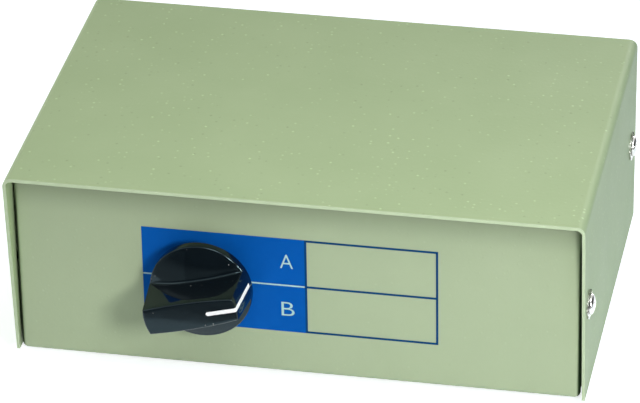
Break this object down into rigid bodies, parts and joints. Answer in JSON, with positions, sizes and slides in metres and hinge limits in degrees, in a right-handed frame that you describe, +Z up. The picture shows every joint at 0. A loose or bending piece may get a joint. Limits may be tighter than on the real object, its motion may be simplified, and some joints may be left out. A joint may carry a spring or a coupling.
{
  "type": "coaxial switch box",
  "caption": "Desk-top two-way coaxial selector: folded sheet-steel case, disc-and-bar knob on a rotary wafer switch, and bayonet coaxial jacks on the rear.",
  "frame": {"origin": "under the middle of the whole part, on the plane the feet rest on", "axes": "+X to the right as seen from the front, +Y to the rear, +Z up; the front panel faces -Y"},
  "size_m": [0.1536, 0.1256, 0.057],
  "materials": {
    "case_paint": "fine satin powder coat",
    "rubber": "matt",
    "bright_nickel": "bright nickel plate",
    "knob_plastic": "glossy moulded",
    "white_paint": "satin fill",
    "brass": "turned",
    "blackened_steel": "blackened",
    "plated_steel": "zinc plate",
    "spring_steel": "tempered",
    "wafer_laminate": "paper laminate",
    "silver_plate": "silver plate",
    "white_dielectric": "turned fluoropolymer",
    "gold_plate": "gold plate",
    "lead_jacket": "extruded vinyl",
    "tinned_copper": "tinned"
  },
  "bodies": {
    "box": {"cover": "case_paint", "chassis": "case_paint", "foot_front_left": "rubber", "foot_front_right": "rubber", "foot_rear_left": "rubber", "foot_rear_right": "rubber", "cover_screws": "bright_nickel", "cover_screw_washers": "bright_nickel", "switch_front_plate": "plated_steel", "switch_lock_washer": "plated_steel", "switch_mounting_nut": "plated_steel", "detent_spring": "spring_steel", "detent_rivets": "plated_steel", "stop_pins": "plated_steel", "contact_wafer": "wafer_laminate", "wafer_spacers": "plated_steel", "tie_screws": "plated_steel", "terminal_common": "silver_plate", "terminal_a": "silver_plate", "terminal_b": "silver_plate", "terminal_eyelets": "brass", "jack_ground_tags": "silver_plate", "jack_lock_washers": "plated_steel", "jack_nuts": "bright_nickel", "jack_common_shell": "bright_nickel", "jack_common_insulator": "white_dielectric", "jack_common_contact": "gold_plate", "lead_common_jacket": "lead_jacket", "lead_common_core": "tinned_copper", "jack_a_shell": "bright_nickel", "jack_a_insulator": "white_dielectric", "jack_a_contact": "gold_plate", "lead_a_jacket": "lead_jacket", "lead_a_core": "tinned_copper", "jack_b_shell": "bright_nickel", "jack_b_insulator": "white_dielectric", "jack_b_contact": "gold_plate", "lead_b_jacket": "lead_jacket", "lead_b_core": "tinned_copper"},
    "selector": {"knob": "knob_plastic", "knob_pointer_line": "white_paint", "knob_insert": "brass", "knob_set_screw": "blackened_steel", "switch_shaft": "plated_steel", "shaft_retaining_clip": "spring_steel", "index_wheel": "plated_steel", "rotor_disc": "wafer_laminate", "rotor_contact": "silver_plate"}
  },
  "joints": [
    {"name": "selector_turn", "type": "hinge", "parent": "box", "child": "selector", "pos_m": [-0.0236, -0.04385, 0.0296], "axis": [0, 1, 0], "range_deg": [0, 30], "deforming": ["detent_spring"]}
  ]
}
